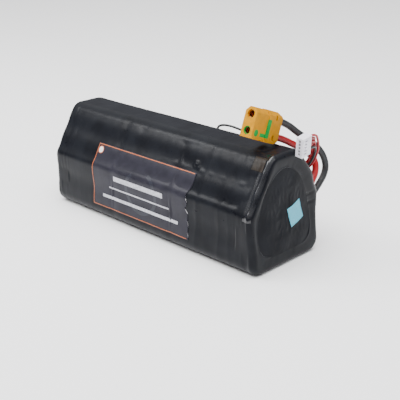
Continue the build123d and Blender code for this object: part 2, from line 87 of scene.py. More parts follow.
# ---- the cells and what lies between them ----
ROWS = (4, 3, 4, 3, 2)
CELLS = [((column - (count - 1) / 2) * PITCH, RADIUS + row * ROW * PITCH)
         for row, count in enumerate(ROWS) for column in range(count)]
PAPERS = (-103.5 * MM, -37.5 * MM, 28.6 * MM, 94.8 * MM)  # middles of the papers between layers
SOLID_END = 94 * MM  # beyond it, boards and foam fill the section
TIGHT = 0.34 * MM  # as far as the film sinks right over a cell

# ---- the film ----
AROUND = 256  # points round the section
FILM_STEPS, WRAP_STEPS, END_LEVELS = 280, 120, 46
WRAP_DEPTH = 1.3 * MM  # the paper's depth under the film
END_ROUND = 4.0 * MM
END_LIFT = 0.85  # share of the film's unevenness left where it rounds the end
# From the outline to the open mouth of the sleeve.
MOUTH_NEAR, MOUTH_FAR, MOUTH_BOTTOM = 5.4 * MM, 10.4 * MM, 12.0 * MM
MOUTH_EASE, RING_EASE = 12, 26  # points to each side in a running mean
LIPS = (  # share of the way to the mouth, and mm back from the end plane
    (1.0, 0.75), (1.0, 0.35), (0.97, 0.12), (0.9, 0.2), (0.8, 0.25), (0.66, 0.22),
    (0.5, 0.16), (0.3, 0.08), (0.1, 0.02),
)
# Two pleats on the far side of the lead end: heights, depth and width.
PLEATS, PLEAT_DEPTH, PLEAT_WIDTH = (46.0 * MM, 39.4 * MM), 0.55 * MM, 0.9 * MM
REAR_SLACK, FOOT_SLACK = 3.2 * MM, 3.8 * MM  # how far the film stands off the two ends
REAR_SLACK_FROM, SLACK_FULL = 93 * MM, 108 * MM
FOOT_LOW, FOOT_HIGH = 6 * MM, 44 * MM  # the slack at the lead end's foot runs out between these
GLOSS_START, GLOSS_END = 100.2 * MM, 107.2 * MM  # the melted fold at the lead end
GLOSS_SIDE = -12 * MM
END_WAVE, END_FINE, END_PULL = 0.35, 0.14, 0.04  # mm, mm, share of the reach
DOME_Y, DOME_Z = 31 * MM, 35 * MM  # half the dome of the sheet inside a mouth
DOME_SUNK, DOME_HEIGHT, DOME_CRUMPLE, DOME_CREASE = 0.5, 1.6, 0.8, 0.5  # mm

# Humps as height, place and width. Heights here are in mm.
FLANK_SAG = ((-1.1, 25.8 * MM, 8 * MM),)
FOLD_WANDER = 0.8
END_FOLD = ((0.7, 104.6 * MM, 1.3 * MM), (-0.9, 101.6 * MM, 1.1 * MM))
FAR_BULGE = ((4.0, 62 * MM, 11 * MM), (2.2, 42 * MM, 14 * MM))
# Heights here are in metres.
NEAR_BULGE = ((1.3 * MM, 32 * MM, 14 * MM),)
MORE_LIFT = ((0.6 * MM, 45 * MM, 3 * MM),)  # round the bumps of DENTS
BULGE_FULL, MOST_LIFT = 105 * MM, 0.9 * MM

# Waves of the film: heights in mm, and waves in a metre along x, y and z.
CELL_SAG, LAYER_SAG, LAYER_SAG_WIDTH = 0.25, 0.3, 4 * MM
SWELL, SWELL_GRAIN = 0.55, 14
FOLDS, FOLD_GRAIN, FOLD_SHIFT = 0.28, (95, 9, 9), Vector((3.1, 0, 0))
FOLDS_FROM, FOLDS_EASE = 0.045, 0.012  # metres: the folds grow towards the lead end
CRINKLE, CRINKLE_GRAIN, CRINKLE_IN, CRINKLE_WIDTH = 0.32, (420, 60, 60), 4 * MM, 9 * MM
PADDING = 0.15
FLAT_UNDER = 1.05  # how fast the unevenness ends towards the underside
DENT_REACH, SLIT_TALL = 3, 0.35  # radii at which a dent ends; how little height counts in a slit
DENTS = (  # x, y, z, radius, depth in mm: pushed in where depth is negative
    (40.4, -12.8, 81.0, 4.0, -0.9),
    (44.0, -10.6, 83.0, 1.6, 0.5),
    (44.6, -24.9, 66.2, 2.1, 1.3),
    (47.6, -26.0, 64.4, 1.1, 0.7),
    (79.7, -36.0, 50.2, 0.7, -0.7),
    (86.3, -36.2, 49.6, 0.7, -0.6),
    (-20.0, -14.5, 80.0, 5.0, -0.5),
    (-62.0, -30.0, 58.0, 9.0, -0.4),
    (5.0, 28.0, 61.0, 8.0, -0.5),
)

# ---- label ----
LABEL_LOW, LABEL_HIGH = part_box("label")
LABEL_BARS = (  # name; start and end from the label's rear edge, low and high, in mm; columns, rows
    ("label_bar_wide", 26, 82, 36.5, 40.5, 70, 5),
    ("label_bar_thin", 20, 88, 29.0, 30.3, 70, 3),
    ("label_bar_low", 12, 98, 20.0, 22.4, 90, 3),
)
# Humps on a share of the label's height: mm, place, width.
BITES = ((-2.6, 0.66, 0.09), (-3.2, 0.46, 0.05), (-1.0, 0.3, 0.1))
PAPER_SHOWS = ((1.0, 0.62, 0.05), (1.3, 0.42, 0.06))
RING_X, RING_Z, RING_STEPS = -4 * MM, 34 * MM, 96
RING_START, RING_SWEEP, RING_RADII = -230, 300, (15.0, 16.5, 18.0)  # degrees, mm

# ---- seals ----
BEAD_VOXEL, BEAD_ROUGH, BEAD_GRAIN = 0.45 * MM, 0.35, 420

# ---- cords ----
LEAD_D, WIRE_D = 5.0 * MM, 1.7 * MM
TILT = math.radians(20.5)
MATE = Vector((0, -math.cos(TILT), math.sin(TILT)))
RISE = Vector((0, math.sin(TILT), math.cos(TILT)))
PLUG_FACE = Vector((87.0, -17.0, 105.0)) * MM
POLE_OFFSET, CORD_START, RUN_BEHIND = 5.8 * MM, 25.0 * MM, 16.0 * MM
EXIT_DIR = Vector((0, 0.8, 0.6))
BLACK_EXIT = Vector((101.0, 37.5, 36.6)) * MM
RED_EXIT = Vector((101.0, 36.2, 46.7)) * MM
LEAD_INSIDE, LEAD_STAND = 4.0 * MM, 9.0 * MM

# Balance plug's own directions; then the harness in mm: places, a side direction, the spread.
BALANCE_CENTRE = Vector((112.8, 11.5, 87.0)) * MM
BALANCE_Z = Vector((0, -0.989, -0.15)).normalized()
BALANCE_ACROSS = Vector((0.987, 0, -0.158))
BALANCE_X = (BALANCE_ACROSS - BALANCE_Z * BALANCE_ACROSS.dot(BALANCE_Z)).normalized()
BALANCE_Y = BALANCE_Z.cross(BALANCE_X)
BALANCE_PITCH = 2.5 * MM
WIRE_START, WIRE_BEND, WIRE_BEND_STEP = 3.0 * MM, 8.2 * MM, 1.3 * MM
SPREAD = 1.7
HARNESS_START = [
    ((108.0, 32.0, 83.4), (0, 0.6, 0.8), SPREAD),
    ((102.0, 40.6, 74.4), (0, 0.8, 0.6), SPREAD),
    ((98.6, 40.6, 64.6), (0, 1, 0), SPREAD),
    ((92.6, 38.4, 58.4), (0, 1, 0), SPREAD),
    ((83.0, 35.6, 57.0), (0, 0.8, 0.6), SPREAD),
    ((71.0, 34.4, 58.2), (0, 0.2, 1), SPREAD),
    ((53.0, 34.9, 57.4), (0, -0.5, 0.87), SPREAD),
]
HIGH_LOOP = [
    ((35.0, 33.6, 60.2), (0.3, -0.5, 0.87), SPREAD),
    ((24.0, 30.4, 65.6), (0.8, -0.3, 0.5), SPREAD),
    ((19.0, 25.6, 74.0), (1, 0, 0), 0),
    ((23.0, 21.0, 81.0), (0.8, 0.3, -0.5), 0),
    ((32.0, 17.8, 84.8), (0.3, 0, -1), 0),
    ((43.5, 17.2, 85.4), (0, 0, -1), 0),
    ((54.5, 19.4, 82.6), (-0.2, 0, -1), 0),
    ((65.0, 22.2, 79.4), (-0.2, 0, -1), 0),
    ((75.0, 24.8, 74.6), (0, 0, -1), SPREAD),
]
LOW_LOOP = [
    ((42.0, 33.9, 59.8), (0.3, -0.5, 0.87), SPREAD),
    ((33.0, 33.0, 61.2), (0.6, -0.4, 0.7), SPREAD),
    ((27.5, 29.6, 66.8), (1, 0, 0), SPREAD),
    ((33.0, 26.4, 72.2), (0.6, 0.3, -0.7), SPREAD),
    ((43.0, 25.4, 72.8), (0.2, 0.2, -1), SPREAD),
    ((57.0, 25.3, 72.6), (0, 0, -1), SPREAD),
    ((70.0, 25.2, 72.9), (0, 0, -1), SPREAD),
]
HARNESS_END = [((83.0, 24.8, 73.6), (0, 0, -1), SPREAD)]
# Each wire's place in the bundle, up and aside, to be multiplied by the spread.
CLUSTER = ((-1.3, 0.8), (-0.9, -1), (0, 0), (1, -1), (1, 1))


# ---- stage ----
def look_from(azimuth, elevation, distance, target):
    """An object's place on a sphere round a target, and the direction to it."""
    a, e = math.radians(azimuth), math.radians(elevation)
    way = Vector((math.sin(a) * math.cos(e), -math.cos(a) * math.cos(e), math.sin(e)))
    return Vector(target) + way * distance, way


def make_camera():
    data = bpy.data.cameras.new("camera")
    data.lens, data.sensor_width = CAMERA_LENS, CAMERA_SENSOR
    data.clip_start, data.clip_end = 0.01, 50.0
    camera = bpy.data.objects.new("camera", data)
    place, way = look_from(CAMERA_AZIMUTH, CAMERA_ELEVATION, CAMERA_DISTANCE, CAMERA_TARGET)
    camera.location = place
    camera.rotation_euler = way.to_track_quat("Z", "Y").to_euler()
    bpy.context.collection.objects.link(camera)
    bpy.context.scene.camera = camera


def area_light(name, azimuth, elevation, distance, size, power):
    data = bpy.data.lights.new(name, "AREA")
    data.shape, data.size, data.size_y = "RECTANGLE", size[0], size[1]
    data.energy = power
    light = bpy.data.objects.new(name, data)
    place, way = look_from(azimuth, elevation, distance, LIGHT_TARGET)
    light.location = place
    light.rotation_euler = way.to_track_quat("Z", "Y").to_euler()
    bpy.context.collection.objects.link(light)


def make_stage():
    mesh = bpy.data.meshes.new("floor")
    signs = [(-1, -1), (1, -1), (1, 1), (-1, 1)]
    corners = [(x * HALF_FLOOR, y * HALF_FLOOR, 0) for x, y in signs]
    mesh.from_pydata(corners, [], [(0, 1, 2, 3)])
    floor = bpy.data.objects.new("floor", mesh)
    bpy.context.collection.objects.link(floor)
    plain = bpy.data.materials.new("floor_white")
    plain.use_nodes = True
    shader = plain.node_tree.nodes["Principled BSDF"]
    shader.inputs["Base Color"].default_value = FLOOR_WHITE
    shader.inputs["Roughness"].default_value = 0.9
    mesh.materials.append(plain)
    world = bpy.data.worlds.new("studio")
    world.use_nodes = True
    tree = world.node_tree
    place = node(tree, "ShaderNodeTexCoord").outputs["Generated"]
    axes = node(tree, "ShaderNodeSeparateXYZ")
    ramp = node(tree, "ShaderNodeValToRGB")
    ramp.color_ramp.elements[0].position, ramp.color_ramp.elements[1].position = WALL_END, CEILING_FROM
    ramp.color_ramp.elements[0].color = (*DARK_WALL, 1)
    ramp.color_ramp.elements[1].color = (1, 1, 1, 1)
    tree.links.new(place, axes.inputs["Vector"])
    tree.links.new(axes.outputs["Z"], ramp.inputs["Fac"])
    tree.links.new(ramp.outputs["Color"], tree.nodes["Background"].inputs["Color"])
    tree.nodes["Background"].inputs["Strength"].default_value = WORLD_STRENGTH
    bpy.context.scene.world = world
    for light in LIGHTS:
        area_light(*light)


# ---- materials ----
def node(tree, kind, **values):
    """A shader node, with values for its inputs or its settings."""
    made = tree.nodes.new(kind)
    for name, value in values.items():
        if name in made.inputs:
            made.inputs[name].default_value = value
        else:
            setattr(made, name, value)
    return made


def noise_at(tree, vector, scale, detail=4.0):
    made = node(tree, "ShaderNodeTexNoise", Scale=scale, Detail=detail)
    tree.links.new(vector, made.inputs["Vector"])
    return made.outputs["Fac"]


def stretched(tree, coordinates, scale):
    mapping = node(tree, "ShaderNodeMapping")
    mapping.inputs["Scale"].default_value = scale
    tree.links.new(coordinates, mapping.inputs["Vector"])
    return mapping.outputs["Vector"]


def material(name, dark, light, rough=(0.4, 0.5), grain=300.0, bump=0.1, depth=0.1,
             stretch=(1, 1, 1), metallic=0.0, fine=2200.0, specular=0.4):
    """Colour that wanders between two tones, uneven roughness and a fine bumped grain."""
    made = bpy.data.materials.new(name)
    made.use_nodes = True
    tree = made.node_tree
    shader = tree.nodes["Principled BSDF"]
    shader.inputs["Metallic"].default_value = metallic
    shader.inputs["Specular IOR Level"].default_value = specular
    place = tree.nodes.new("ShaderNodeTexCoord").outputs["Object"]
    vector = stretched(tree, place, stretch)
    ramp = node(tree, "ShaderNodeValToRGB")
    ramp.color_ramp.elements[0].position, ramp.color_ramp.elements[1].position = TONE_LOW, TONE_HIGH
    ramp.color_ramp.elements[0].color = (*dark, 1)
    ramp.color_ramp.elements[1].color = (*light, 1)
    tree.links.new(noise_at(tree, vector, grain), ramp.inputs["Fac"])
    tree.links.new(ramp.outputs["Color"], shader.inputs["Base Color"])
    spread = node(tree, "ShaderNodeMapRange")
    spread.inputs["To Min"].default_value, spread.inputs["To Max"].default_value = rough
    tree.links.new(noise_at(tree, vector, grain * 2.3), spread.inputs["Value"])
    tree.links.new(spread.outputs["Result"], shader.inputs["Roughness"])
    bumped = node(tree, "ShaderNodeBump")
    bumped.inputs["Strength"].default_value = bump
    bumped.inputs["Distance"].default_value = depth * MM
    tree.links.new(noise_at(tree, vector, fine, 3.0), bumped.inputs["Height"])
    tree.links.new(bumped.outputs["Normal"], shader.inputs["Normal"])
    return made


def film_material(name="film_black", rough=(0.22, 0.40), specular=0.11):
    """Shrunk film: near black, satin, with long shallow ripples round the pack."""
    made = material(name, (0.004, 0.0045, 0.0065), (0.008, 0.009, 0.012), rough=rough,
                    grain=55.0, bump=0.12, depth=0.05, fine=1500.0, specular=specular)
    tree = made.node_tree
    shader = tree.nodes["Principled BSDF"]
    old = shader.inputs["Normal"].links[0].from_socket
    place = tree.nodes.new("ShaderNodeTexCoord").outputs["Object"]
    ripple = node(tree, "ShaderNodeBump")
    ripple.inputs["Strength"].default_value = 0.35
    ripple.inputs["Distance"].default_value = 0.45 * MM
    vector = stretched(tree, place, (3.2, 0.5, 0.5))
    tree.links.new(noise_at(tree, vector, 42.0, 5.0), ripple.inputs["Height"])
    tree.links.new(old, ripple.inputs["Normal"])
    tree.links.new(ripple.outputs["Normal"], shader.inputs["Normal"])
    return made


def make_materials():
    return {
        "film": film_material(),
        "film_gloss": film_material("film_fold_gloss", (0.07, 0.2), 0.6),
        "end_film": film_material("film_end_black", (0.4, 0.55), 0.08),
        "label_film": material("label_slate", (0.012, 0.0115, 0.018), (0.018, 0.017, 0.026),
                               (0.34, 0.44), 120, 0.08, 0.03, specular=0.2),
        "label_orange": material("label_orange", (0.36, 0.075, 0.015), (0.46, 0.12, 0.03),
                                 (0.4, 0.5), 400, 0.05, 0.02),
        "label_mark": material("label_pale", (0.40, 0.40, 0.44), (0.56, 0.56, 0.6),
                               (0.4, 0.5), 600, 0.05, 0.02),
        "label_ring": material("label_blue", (0.007, 0.008, 0.016), (0.010, 0.011, 0.021),
                               (0.34, 0.44), 150, 0.05, 0.02),
        "badge": material("badge_white", (0.66, 0.62, 0.6), (0.86, 0.84, 0.82),
                          (0.4, 0.5), 700, 0.05, 0.02),
        "paper_white": material("paper_torn", (0.5, 0.5, 0.52), (0.86, 0.86, 0.88),
                                (0.7, 0.85), 900, 0.4, 0.1),
        "sticker": material("sticker_blue", (0.08, 0.38, 0.50), (0.15, 0.48, 0.61),
                            (0.5, 0.62), 900, 0.25, 0.05, stretch=(1, 1, 4), specular=0.15),
        "tape": material("tape_brown", (0.010, 0.008, 0.006), (0.020, 0.014, 0.010),
                         (0.3, 0.45), 200, 0.2, 0.1, specular=0.15),
        "sealant": material("sealant_black", (0.01, 0.01, 0.011), (0.022, 0.022, 0.024),
                            (0.25, 0.45), 260, 0.35, 0.3),
        "lead_black": material("silicone_black", (0.012, 0.0125, 0.014), (0.02, 0.021, 0.023),
                               (0.38, 0.52), 500, 0.12, 0.05),
        "lead_red": material("silicone_red", (0.30, 0.003, 0.006), (0.38, 0.008, 0.012),
                             (0.34, 0.48), 500, 0.12, 0.05),
        "connector_yellow": material("nylon_yellow", (0.42, 0.185, 0.0), (0.50, 0.215, 0.0),
                                     (0.36, 0.5), 240, 0.2, 0.06, specular=0.08),
        "connector_green": material("nylon_green", (0.0, 0.22, 0.03), (0.0, 0.28, 0.04),
                                    (0.36, 0.5), 300, 0.2, 0.06, specular=0.08),
        "contact_gold": material("gold_plate", (0.62, 0.30, 0.10), (0.80, 0.45, 0.18),
                                 (0.2, 0.34), 500, 0.1, 0.03, metallic=1.0),
        "plug_white": material("nylon_white", (0.74, 0.72, 0.80), (0.86, 0.85, 0.90),
                               (0.34, 0.46), 400, 0.15, 0.04),
        "crimp": material("tinned_bronze", (0.30, 0.29, 0.28), (0.55, 0.54, 0.52),
                          (0.3, 0.45), 700, 0.2, 0.04, metallic=1.0),
        "cell_steel": material("can_steel", (0.45, 0.45, 0.47), (0.6, 0.6, 0.62),
                               (0.25, 0.4), 90, 0.1, 0.05, metallic=1.0),
        "cell_sleeve": material("sleeve_blue", (0.10, 0.14, 0.36), (0.16, 0.21, 0.46),
                                (0.3, 0.4), 90, 0.1, 0.05),
        "cap_metal": material("cap_nickel", (0.5, 0.5, 0.5), (0.7, 0.7, 0.7),
                              (0.2, 0.35), 300, 0.1, 0.05, metallic=1.0),
        "ring_paper": material("ring_white", (0.7, 0.7, 0.68), (0.85, 0.85, 0.83),
                               (0.75, 0.9), 900, 0.3, 0.05),
        "nickel": material("nickel_strip", (0.5, 0.48, 0.45), (0.66, 0.64, 0.6),
                           (0.25, 0.4), 250, 0.1, 0.05, metallic=1.0),
        "insulation_paper": material("barley_green", (0.06, 0.16, 0.10), (0.10, 0.22, 0.14),
                                     (0.75, 0.9), 900, 0.4, 0.06),
        "wrap_paper": material("wrap_green", (0.07, 0.17, 0.11), (0.11, 0.24, 0.15),
                               (0.75, 0.9), 800, 0.4, 0.06),
        "board": material("epoxy_glass", (0.42, 0.38, 0.14), (0.54, 0.50, 0.22),
                          (0.4, 0.55), 1100, 0.2, 0.05),
        "foam": material("foam_black", (0.012, 0.012, 0.013), (0.03, 0.03, 0.03),
                         (0.85, 0.95), 1600, 0.6, 0.2),
        "bus_copper": material("copper_strip", (0.55, 0.25, 0.14), (0.75, 0.38, 0.24),
                               (0.25, 0.4), 200, 0.1, 0.05, metallic=1.0),
        "lead_core": material("tinned_strands", (0.5, 0.36, 0.28), (0.75, 0.6, 0.5),
                              (0.3, 0.45), 1200, 0.4, 0.1, metallic=1.0),
        "solder": material("solder_bright", (0.55, 0.55, 0.57), (0.75, 0.75, 0.77),
                           (0.15, 0.35), 500, 0.3, 0.15, metallic=1.0),
        "shrink_black": material("shrink_tube", (0.012, 0.012, 0.012), (0.02, 0.02, 0.02),
                                 (0.2, 0.35), 400, 0.2, 0.08),
    }


def dress_cad(materials):
    """Every carried-over CAD node gets the material of its slot; those listed in SOFT_EDGES also get
    softened edges.
    """
    slots = {row["node"]: row["material_slot"] for row in frame["record"]["subparts"]}
    for name, obj in frame["nodes"].items():
        obj.data.materials.clear()
        obj.data.materials.append(materials[slots[name]])
        if name in SOFT_EDGES:
            bevel = obj.modifiers.new("soft_edges", "BEVEL")
            bevel.width, bevel.segments = SOFT_EDGES[name] * MM, 2
            bevel.limit_method, bevel.angle_limit = "ANGLE", SOFT_ANGLE
            bevel.harden_normals = False


# ---- the honeycomb's outline ----
def build_outline():
    """Points on the polygon of corner cells, with outward normals, evenly round the skin."""
    half, step = PITCH / 2, ROW * PITCH
    centres = [(-3 * half, RADIUS), (3 * half, RADIUS), (3 * half, RADIUS + 2 * step),
               (half, RADIUS + 4 * step), (-half, RADIUS + 4 * step), (-3 * half, RADIUS + 2 * step)]
    centres = [np.array(c) for c in centres]
    pieces = []
    count = len(centres)
    for i in range(count):
        a, b = centres[i], centres[(i + 1) % count]
        c = centres[(i + 2) % count]
        along = (b - a) / np.linalg.norm(b - a)
        following = (c - b) / np.linalg.norm(c - b)
        normal = np.array((along[1], -along[0]))
        after = np.array((following[1], -following[0]))
        turn = math.acos(max(-1.0, min(1.0, float(normal @ after))))
        pieces.append(("run", a, b, normal, normal, np.linalg.norm(b - a)))
        pieces.append(("arc", b, b, normal, after, RADIUS * turn))
    total = sum(p[5] for p in pieces)
    marks, normals = [], []
    for k in range(AROUND):
        left = total * k / AROUND
        for kind, a, b, n0, n1, long in pieces:
            if left <= long:
                t = left / long
                turned = n0 if kind == "run" else slerp(n0, n1, t)
                marks.append(a + (b - a) * t)
                normals.append(turned)
                break
            left -= long
    return np.array(marks), np.array(normals)


def slerp(a, b, t):
    angle = math.acos(max(-1.0, min(1.0, float(a @ b))))
    mixed = (math.sin((1 - t) * angle) * a + math.sin(t * angle) * b) / math.sin(angle)
    return mixed / np.linalg.norm(mixed)


MARKS, NORMALS = build_outline()


def hump(x, middle, width):
    return math.exp(-(((x - middle) / width) ** 2))


def humps(place, rows):
    """The sum of some humps, each given as height, place and width."""
    return sum(height * hump(place, middle, width) for height, middle, width in rows)


def grained(x, y, z, grain):
    return Vector((x * grain[0], y * grain[1], z * grain[2]))


def flat_noise(y, z, grain_y, grain_z, layer):
    """Noise over the section, from one layer of the noise's space."""
    return noise.noise(Vector((y * grain_y, z * grain_z, layer)))


def cell_gap(y, z):
    """How far the film can be pushed in at a place of the outline before it meets a cell."""
    nearest = min(math.hypot(y - cy, z - cz) for cy, cz in CELLS)
    aside = max(nearest ** 2 - RADIUS ** 2, 0.0)
    reach = (RADIUS - TIGHT) ** 2 - aside
    return RADIUS - math.sqrt(reach) if reach > 0 else RADIUS


def room_under(x, y, z):
    """The gap over the cells, closed where a paper or an end board holds the film up."""
    held = 1.0 if abs(x) > SOLID_END else max(hump(x, paper, 2.5 * MM) for paper in PAPERS)
    gap = cell_gap(y, z)
    return gap + (TIGHT - gap) * held


def ramp_up(value, low, high):
    t = min(1.0, max(0.0, (value - low) / (high - low)))
    return t * t * (3 - 2 * t)


def end_fold(x, y, z, normal):
    """Rolled fold with a crease behind it, along the near edge of the lead end."""
    if normal[0] > -0.2:
        return 0.0
    wander = FOLD_WANDER * flat_noise(y, z, 90, 90, 7.0) * MM
    roll = humps(x + wander, END_FOLD)
    return roll * MM * (0.6 + 0.8 * abs(flat_noise(y, z, 40, 40, 2.0)))


def bulge(x, z, normal):
    """Loose film at the lead end, held off the far slope by what runs under it."""
    front = ramp_up(x, SOLID_END, BULGE_FULL)
    if normal[0] > 0:
        return humps(z, FAR_BULGE) * MM * front
    return humps(z, NEAR_BULGE) * front


def film_lift(x, y, z, normal):
    """How far the film stands out of the plain section, in metres."""
    p = Vector((x, y, z))
    lift = humps(z, FLANK_SAG) * abs(normal[0]) ** 4
    lift -= CELL_SAG * (1 - math.cos((z - CREASE_Z) / (ROW * PITCH) * 2 * math.pi)) * (z > CREASE_Z)
    for paper in PAPERS[1:3]:
        lift -= LAYER_SAG * hump(x, paper, LAYER_SAG_WIDTH)
    lift += SWELL * noise.noise(p * SWELL_GRAIN)
    lead_end = 1 / (1 + math.exp(-(x - FOLDS_FROM) / FOLDS_EASE))
    folds = 1 - abs(noise.noise(grained(x, y, z, FOLD_GRAIN) + FOLD_SHIFT)) * 2
    lift += FOLDS * (folds - 0.6) * (0.25 + 0.75 * lead_end)
    near_end = hump(abs(x), FRONT - CRINKLE_IN, CRINKLE_WIDTH)
    lift += CRINKLE * near_end * noise.noise(grained(x, y, z, CRINKLE_GRAIN))
    lift = (lift + PADDING) * MM
    for dx, dy, dz, size, depth in DENTS:
        gap = (p - Vector((dx, dy, dz)) * MM).length / (size * MM)
        if gap < DENT_REACH:
            if size < 1:  # the smallest are upright slits
                gap = math.hypot(x - dx * MM, (p.z - dz * MM) * SLIT_TALL) / (size * MM)
            lift += depth * MM * math.exp(-gap ** 2)
    lift += end_fold(x, y, z, normal)
    free = 1 - min(1.0, max(0.0, -normal[1]) * FLAT_UNDER)
    lift = max(lift * free, -room_under(x, y, z))
    lift = min(lift, MOST_LIFT + humps(x, MORE_LIFT))
    return lift + bulge(x, z, normal) * free


def skin_point(x, k, off=0.0):
    """A point of the film at x and place k round the section, standing off by off."""
    k0, k1 = int(math.floor(k)) % AROUND, int(math.floor(k) + 1) % AROUND
    t = k - math.floor(k)
    mark = MARKS[k0] * (1 - t) + MARKS[k1] * t
    normal = NORMALS[k0] * (1 - t) + NORMALS[k1] * t
    normal = normal / np.linalg.norm(normal)
    flat = mark + normal * RADIUS
    lift = film_lift(x, flat[0], flat[1], normal)
    y, z = flat + normal * (lift + off)
    return (x, y, z)


def place_round(height):
    """Place round the section (a fractional k) at a height on the near side."""
    points = MARKS + NORMALS * RADIUS
    best = [k for k in range(AROUND) if points[k][0] < 0 and abs(NORMALS[k][0]) > 0.2]
    best.sort(key=lambda k: abs(points[k][1] - height))
    a, b = best[0], best[1]
    za, zb = points[a][1], points[b][1]
    t = 0.0 if abs(zb - za) < 1e-9 else (height - za) / (zb - za)
    return a + (b - a) * t


def mesh_piece(name, points, faces, mat):
    """A smooth mesh that rides on the pack."""
    mesh = bpy.data.meshes.new(name)
    mesh.from_pydata([tuple(p) for p in points], [], faces)
    mesh.validate()
    obj = bpy.data.objects.new(name, mesh)
    bpy.context.collection.objects.link(obj)
    mesh.materials.append(mat)
    mesh.shade_smooth()
    bm = bmesh.new()
    bm.from_mesh(mesh)
    bmesh.ops.recalc_face_normals(bm, faces=bm.faces)
    bm.to_mesh(mesh)
    bm.free()
    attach(obj, "pack")
    return obj


def grid_faces(rows, columns, closed):
    faces = []
    for i in range(rows - 1):
        for j in range(columns if closed else columns - 1):
            j2 = (j + 1) % columns
            faces.append((i * columns + j, i * columns + j2, (i + 1) * columns + j2, (i + 1) * columns + j))
    return faces


def rounded_ring(points):
    """The ring with its corners eased by a running mean."""
    total = np.zeros_like(points)
    for shift in range(-RING_EASE, RING_EASE + 1):
        total += np.roll(points, shift, axis=0)
    return total / (2 * RING_EASE + 1)


def build_mouth():
    """Distance from the outline to the open mouth, round the section."""
    wanted = []
    for normal in NORMALS:
        if normal[1] < -0.5:
            wanted.append(MOUTH_BOTTOM)
        elif normal[0] < -0.3:
            wanted.append(MOUTH_NEAR)
        else:
            wanted.append(MOUTH_FAR)
    wanted = np.array(wanted)
    shifts = range(-MOUTH_EASE, MOUTH_EASE + 1)
    return sum(np.roll(wanted, shift) for shift in shifts) / len(shifts)


MOUTH_AT = build_mouth()


def pulled(x, z):
    """Film stands a little off the rear end, and off the foot of the lead end."""
    rear = REAR_SLACK * ramp_up(-x, REAR_SLACK_FROM, SLACK_FULL)
    foot = FOOT_SLACK * (1 - ramp_up(z, FOOT_LOW, FOOT_HIGH)) * ramp_up(x, SOLID_END, SLACK_FULL)
    return x - rear + foot


def end_ring(share, end, back):
    """One ring of the end face: a share of the way to the mouth, back from the end plane."""
    sign = 1 if end > 0 else -1
    edge = end - sign * 1.0 * MM
    plain = []
    for mark, normal, mouth in zip(MARKS, NORMALS, MOUTH_AT):
        flat = mark + normal * RADIUS
        inset = END_ROUND + (mouth - END_ROUND) * share
        lift = film_lift(edge, flat[0], flat[1], normal) * (1 - 0.35 * share)
        plain.append(flat + normal * (lift * END_LIFT - inset))
    plain = np.array(plain)
    ring = plain * (1 - share) + rounded_ring(plain) * share
    points = []
    for y, z in ring:
        wave = flat_noise(y, z, 60, 60, sign * 2.0)
        fine = flat_noise(y, z, 260, 260, sign * 5.0)
        sink = (END_WAVE * wave + END_FINE * fine) * MM * share
        if end > 0 and y > 0:
            for pleat in PLEATS:
                sink -= PLEAT_DEPTH * hump(z, pleat, PLEAT_WIDTH) * share ** 0.3
        pull = 1 + END_PULL * wave * share
        y, z = MIDDLE + (np.array((y, z)) - MIDDLE) * pull
        points.append((end - sign * (back - min(sink, 0.0) + abs(wave) * 0.1 * MM * share), y, z))
    return points


def film_rows():
    """Rings of the film from the rear mouth, over the pack, to the front mouth."""
    rows = [end_ring(share, REAR, back * MM) for share, back in LIPS]
    arc = [math.radians(a) for a in range(80, -1, -10)]
    for angle in arc:
        x = REAR + END_ROUND * (1 - math.sin(angle))
        rows.append(ring_at(x, END_ROUND * (1 - math.cos(angle))))
    inner = LENGTH / 2 - END_ROUND
    for i in range(1, FILM_STEPS):
        rows.append(ring_at(-inner + 2 * inner * i / FILM_STEPS, 0.0))
    for angle in reversed(arc):
        x = FRONT - END_ROUND * (1 - math.sin(angle))
        rows.append(ring_at(x, END_ROUND * (1 - math.cos(angle))))
    rows += [end_ring(share, FRONT, back * MM) for share, back in reversed(LIPS)]
    return rows


def ring_at(x, inset):
    """One ring of the film at x, inset where it rounds an end."""
    ease = 1 - inset / END_ROUND
    points = []
    for mark, normal in zip(MARKS, NORMALS):
        flat = mark + normal * (RADIUS - inset)
        lift = film_lift(x, flat[0], flat[1], normal) * (END_LIFT + (1 - END_LIFT) * ease)
        y, z = flat + normal * lift
        points.append((x, y, max(z, 0.0)))
    return points


def make_film(materials):
    rows = film_rows()
    points = [(pulled(x, z), y, z) for row in rows for x, y, z in row]
    film = mesh_piece("sleeve_film", points, grid_faces(len(rows), AROUND, True), materials["film"])
    film.data.materials.append(materials["film_gloss"])
    for face in film.data.polygons:
        x, y, z = face.center
        if GLOSS_START < x < GLOSS_END and y < GLOSS_SIDE and z > CREASE_Z:
            face.material_index = 1
    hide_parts("outer_sleeve")


def make_wrap(materials):
    """The paper just under the film, between the two rounded ends."""
    low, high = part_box("paper_wrap")
    points = []
    for i in range(WRAP_STEPS + 1):
        x = low[0] + (high[0] - low[0]) * i / WRAP_STEPS
        points += [skin_point(x, k, -WRAP_DEPTH) for k in range(AROUND)]
    faces = grid_faces(WRAP_STEPS + 1, AROUND, True)
    wrap = mesh_piece("wrap_sheet", points, faces, materials["wrap_paper"])
    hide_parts("paper_wrap")


def end_rise(y, z, sign):
    """How far the domed, crumpled end sheet stands past the end plane."""
    middle = max(0.0, 1 - (y / DOME_Y) ** 2 - ((z - MIDDLE[1]) / DOME_Z) ** 2)
    crumple = DOME_CRUMPLE * flat_noise(y, z, 75, 75, 9.0 * sign)
    crumple -= DOME_CREASE * abs(flat_noise(y, z, 240, 140, 4.0 * sign))
    return ((DOME_HEIGHT + crumple) * middle - DOME_SUNK) * MM


